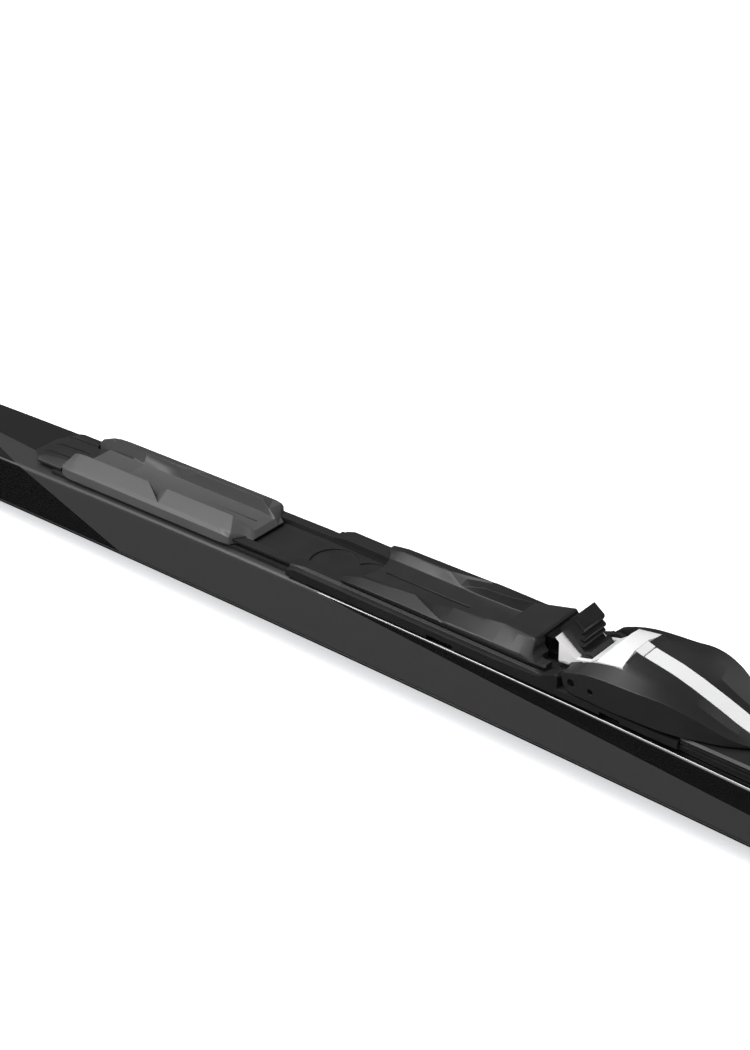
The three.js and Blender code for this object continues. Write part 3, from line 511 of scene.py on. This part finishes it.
class SKI_OT_toe(bpy.types.Operator):
    """Makes the toe carrier, the sole plate and the shift latch"""
    bl_idname = "ski.toe"
    bl_label = "Toe unit"

    def execute(self, context):
        sizes = context.scene.ski_sizes
        rounded("toe_base", "toe_carrier", MATERIALS["rail_plastic"], sizes.fine_fillet)
        rounded("foot_plate", "sole_plate", MATERIALS["binding_plastic"], sizes.fillet)
        rounded("shift_grip", "shift_nose", MATERIALS["rail_plastic"], sizes.fine_fillet)
        rounded("shift_latch", "shift_tongue", MATERIALS["binding_plastic"], sizes.fillet)
        for number in (1, 2):
            rounded(f"foot_screw_{number}", f"sole_screw_{number}", MATERIALS["steel"], SMALL_FILLET_MM)
        return {"FINISHED"}


class SKI_OT_bumper(bpy.types.Operator):
    """Makes the white bridge and the rubber bumper"""
    bl_idname = "ski.bumper"
    bl_label = "Bumper"

    def execute(self, context):
        sizes = context.scene.ski_sizes
        rounded("flexor_frame", "white_bridge", MATERIALS["white_plastic"], sizes.fillet)
        rounded("flexor", "rubber_bumper", MATERIALS["rubber"], sizes.fillet)
        return {"FINISHED"}


class SKI_OT_lever(bpy.types.Operator):
    """Makes the lever, its stripe and its pins"""
    bl_idname = "ski.lever"
    bl_label = "Lever"

    def execute(self, context):
        sizes = context.scene.ski_sizes
        rounded("lever", "opening_lever", MATERIALS["binding_plastic"], sizes.fillet)
        rounded("lever_inlay", "lever_stripe", MATERIALS["white_plastic"], sizes.fine_fillet)
        for side in ("left", "right"):
            rounded(f"lever_pin_{side}", f"hinge_pin_{side}", MATERIALS["black_steel"], PIN_FILLET_MM)
            rounded(f"link_pin_{side}", f"strap_pin_{side}", MATERIALS["black_steel"], PIN_FILLET_MM)
        return {"FINISHED"}


class SKI_OT_jaw(bpy.types.Operator):
    """Makes the jaw and the straps that pull it"""
    bl_idname = "ski.jaw"
    bl_label = "Jaw"

    def execute(self, context):
        rounded("toe_hook", "bar_jaw", MATERIALS["black_steel"], SMALL_FILLET_MM)
        for side in ("left", "right"):
            rounded(f"hook_link_{side}", f"pull_strap_{side}", MATERIALS["steel"], STRAP_FILLET_MM)
        return {"FINISHED"}


SKY_AXIS = (-0.15, -0.35, 0.92)     # where the overhead panel is brightest
PANEL_EDGE, PANEL_MIDDLE = 0.62, 0.92       # how far along the axis its light starts and is full
DIM, BRIGHT = 0.09, 2.3
KEY_PLACE, KEY_TARGET = (-0.7, -0.7, 1.5), (-0.1, 0, 0.03)
STRIP_TARGET = Vector((0.05, 0, 0.04))
STRIP_WAY = Vector((-0.549, -0.505, 0.666))     # its line of light runs along the cap's shoulder
STRIP_AWAY = 1.5
CAMERA_AIM = Vector((-0.125, 0, 0.0745))
SENSOR_MM = 36
FLOOR_HALF = 30


def overhead_sky():
    """A bright panel overhead with dim walls: tops catch light and upright faces stay dark."""
    world = bpy.data.worlds.new("studio")
    world.use_nodes = True
    tree = world.node_tree
    tree.nodes.clear()
    direction = add(tree, "ShaderNodeTexCoord").outputs["Generated"]
    toward = add(tree, "ShaderNodeVectorMath", {0: direction, 1: SKY_AXIS}, operation="DOT_PRODUCT")
    panel = add(tree, "ShaderNodeMapRange", {
        "Value": toward.outputs["Value"], "From Min": PANEL_EDGE, "From Max": PANEL_MIDDLE,
        "To Min": DIM, "To Max": BRIGHT}, interpolation_type="SMOOTHSTEP")
    up = add(tree, "ShaderNodeSeparateXYZ", {"Vector": direction}).outputs["Z"]
    above = span(tree, up, -0.03, 0.05, 0.15, 1)
    light = both(tree, panel.outputs["Result"], above)
    seen = add(tree, "ShaderNodeLightPath").outputs["Is Camera Ray"]
    backdrop = add(tree, "ShaderNodeMix", {0: seen, 2: light, 3: 1.0}).outputs[0]
    glow = add(tree, "ShaderNodeBackground", {"Color": (1, 1, 1, 1), "Strength": backdrop})
    add(tree, "ShaderNodeOutputWorld", {"Surface": glow.outputs["Background"]})
    return world


def softbox(name, location, target, size, watts):
    light = bpy.data.lights.new(name, "AREA")
    light.shape = "RECTANGLE"
    light.size, light.size_y = size
    light.energy = watts
    lamp = bpy.data.objects.new(name, light)
    lamp.location = location
    lamp.rotation_euler = (Vector(target) - Vector(location)).to_track_quat("-Z", "Y").to_euler()
    bpy.context.scene.collection.objects.link(lamp)


class SKI_OT_stage(bpy.types.Operator):
    """Makes the floor, the soft studio light and the camera"""
    bl_idname = "ski.stage"
    bl_label = "Stage"

    def execute(self, context):
        scene = context.scene
        stage = scene.ski_stage
        bm = bmesh.new()
        bmesh.ops.create_grid(bm, x_segments=1, y_segments=1, size=FLOOR_HALF)
        mesh = bpy.data.meshes.new("floor")
        bm.to_mesh(mesh)
        bm.free()
        mesh.materials.append(studio_floor(tuple(stage.floor)))
        floor = bpy.data.objects.new("floor", mesh)
        scene.collection.objects.link(floor)
        floor.visible_glossy = False    # black lacquer stays black beside pale paper

        scene.world = overhead_sky()
        scene.view_settings.view_transform = "Standard"
        softbox("key", KEY_PLACE, KEY_TARGET, (1.2, 0.8), 4)

        softbox("shoulder strip", STRIP_TARGET + STRIP_WAY * STRIP_AWAY, STRIP_TARGET, (0.08, 1.6), 8)

        back = Vector((math.sin(stage.azimuth) * math.cos(stage.elevation),
                       -math.cos(stage.azimuth) * math.cos(stage.elevation),
                       math.sin(stage.elevation)))
        camera = bpy.data.objects.new("camera", bpy.data.cameras.new("camera"))
        camera.data.lens = stage.lens
        camera.data.sensor_width = SENSOR_MM
        camera.location = CAMERA_AIM + back * stage.distance
        camera.rotation_euler = (math.pi / 2 - stage.elevation, 0, stage.azimuth)
        scene.collection.objects.link(camera)
        scene.camera = camera
        return {"FINISHED"}


class SKI_PT_panel(bpy.types.Panel):
    """Lists the sizes, the colours and the pieces"""
    bl_idname = "SKI_PT_panel"
    bl_label = "Cross Country Ski"
    bl_space_type = "VIEW_3D"
    bl_region_type = "UI"
    bl_category = "Ski"

    def draw(self, context):
        for group in (context.scene.ski_sizes, context.scene.ski_colours, context.scene.ski_stage):
            box = self.layout.box()
            for name in group.__annotations__:
                box.prop(group, name)
        for operator in OPERATORS:
            self.layout.operator(operator.bl_idname)


GROUPS = {"ski_colours": SkiColours, "ski_sizes": SkiSizes, "ski_stage": SkiStage}
OPERATORS = (SKI_OT_stage, SKI_OT_materials, SKI_OT_body, SKI_OT_plate, SKI_OT_heel, SKI_OT_toe,
             SKI_OT_bumper, SKI_OT_lever, SKI_OT_jaw)
CLASSES = (*GROUPS.values(), *OPERATORS, SKI_PT_panel)


def register():
    for cls in CLASSES:
        bpy.utils.register_class(cls)
    for name, group in GROUPS.items():
        setattr(bpy.types.Scene, name, PointerProperty(type=group))


def unregister():
    for name in GROUPS:
        delattr(bpy.types.Scene, name)
    for cls in reversed(CLASSES):
        bpy.utils.unregister_class(cls)


def main():
    register()
    for operator in OPERATORS:
        getattr(bpy.ops.ski, operator.bl_idname.split(".")[1])()


if __name__ == "__main__":
    main()
